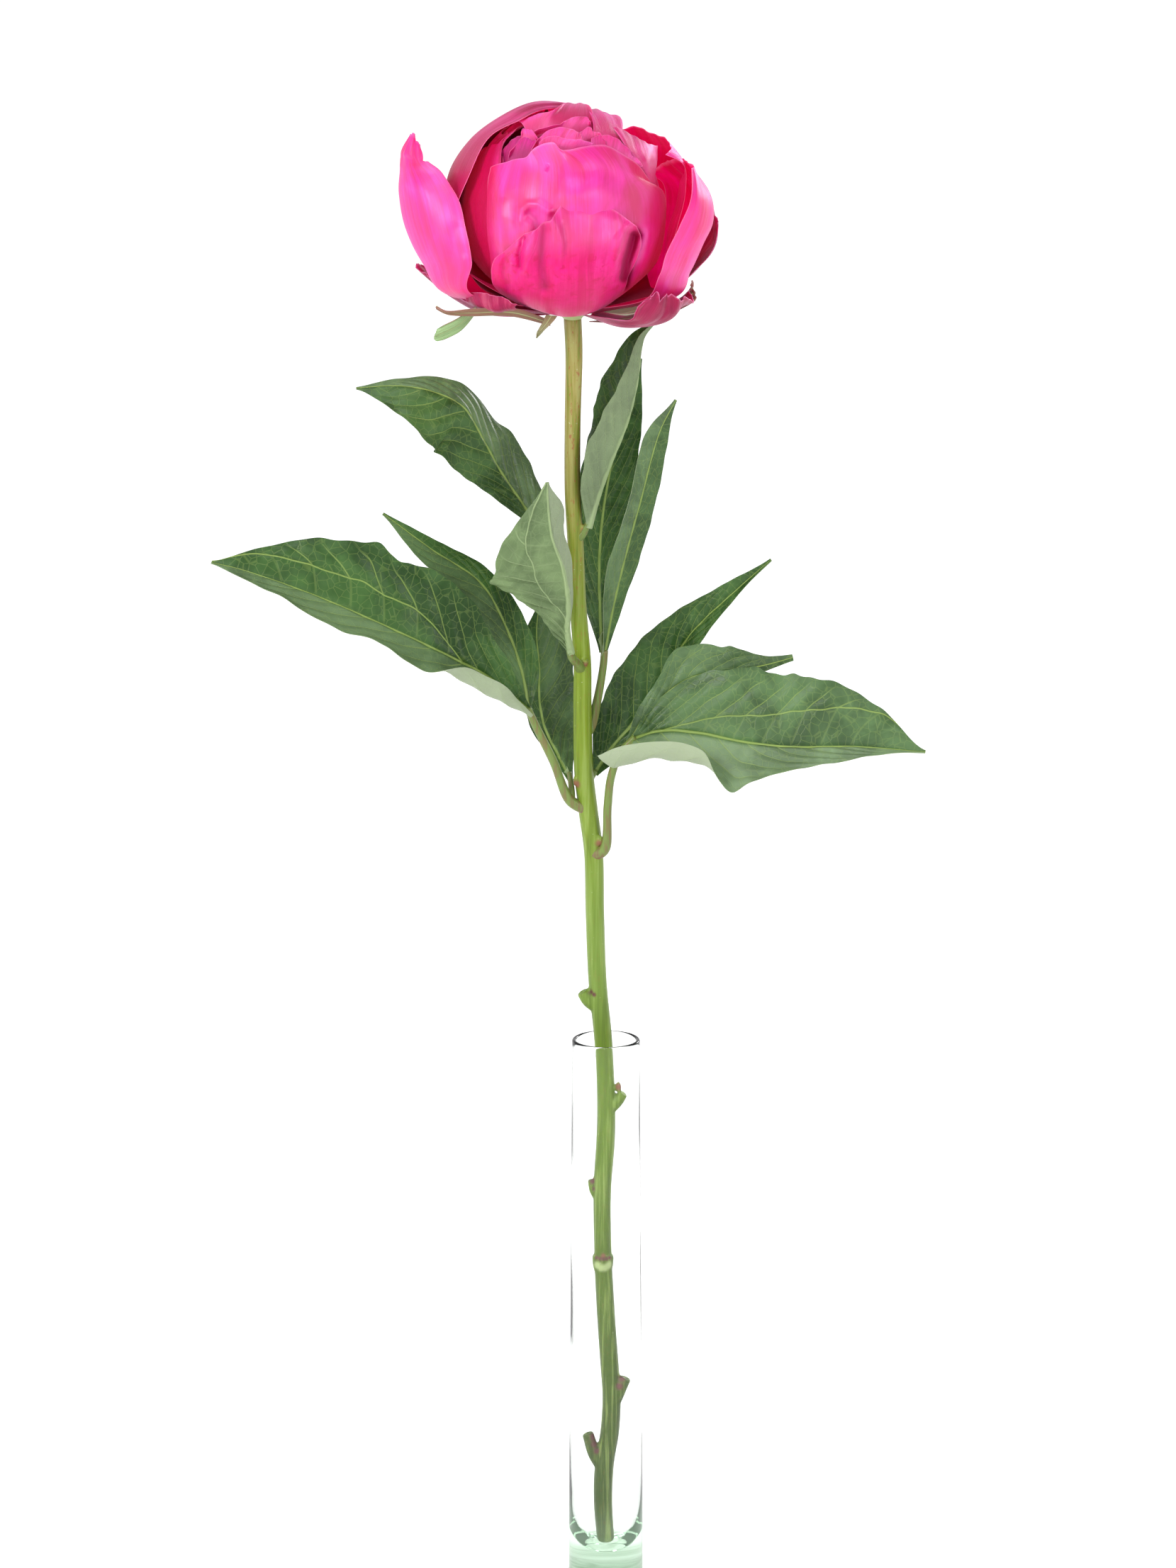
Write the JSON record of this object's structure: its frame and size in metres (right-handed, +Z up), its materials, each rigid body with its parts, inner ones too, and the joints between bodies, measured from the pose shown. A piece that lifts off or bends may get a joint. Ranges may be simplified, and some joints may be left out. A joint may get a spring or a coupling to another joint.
{
  "type": "peony in a bud vase",
  "caption": "Half-open double peony on a long leafy stem, standing in a tall slim cylinder bud vase of clear glass with a thick foot.",
  "frame": {"origin": "centre of the vase's flat foot, on the surface that it stands on", "axes": "+Z up the vase; -Y faces the viewer of the picture, +X to the viewer's right"},
  "size_m": [0.2553, 0.103, 0.5483],
  "materials": {
    "vase_glass": "clear, faintly green where it is thick",
    "stem_green": "fresh green plant stem, satin, flushed brown-pink near the bloom",
    "leaf_green": "smooth leaf, satin above and pale and matte below",
    "sepal_green": "thin green sepal, satin",
    "petal_pink": "soft pink petal with a faint sheen",
    "petal_crimson": "crimson outer petal with a faint sheen"
  },
  "bodies": {
    "root": {"vase": "vase_glass", "stem": "stem_green", "leaf_low_left": "leaf_green", "leaf_right_rear": "leaf_green", "leaf_low_right": "leaf_green", "leaf_back": "leaf_green", "leaf_front": "leaf_green", "leaf_upper_left": "leaf_green", "leaf_upper_right": "leaf_green", "calyx": "sepal_green", "petal_front": "petal_pink", "petal_front_low": "petal_pink", "petal_left": "petal_pink", "petal_right": "petal_pink", "petal_right_rear": "petal_pink", "petal_back_left": "petal_pink", "petal_back_right": "petal_pink", "petal_back": "petal_pink", "petal_low_left": "petal_crimson", "petal_low_front": "petal_crimson", "petal_low_right": "petal_crimson", "petal_low_back": "petal_crimson", "bloom_heart": "petal_pink"}
  },
  "joints": []
}
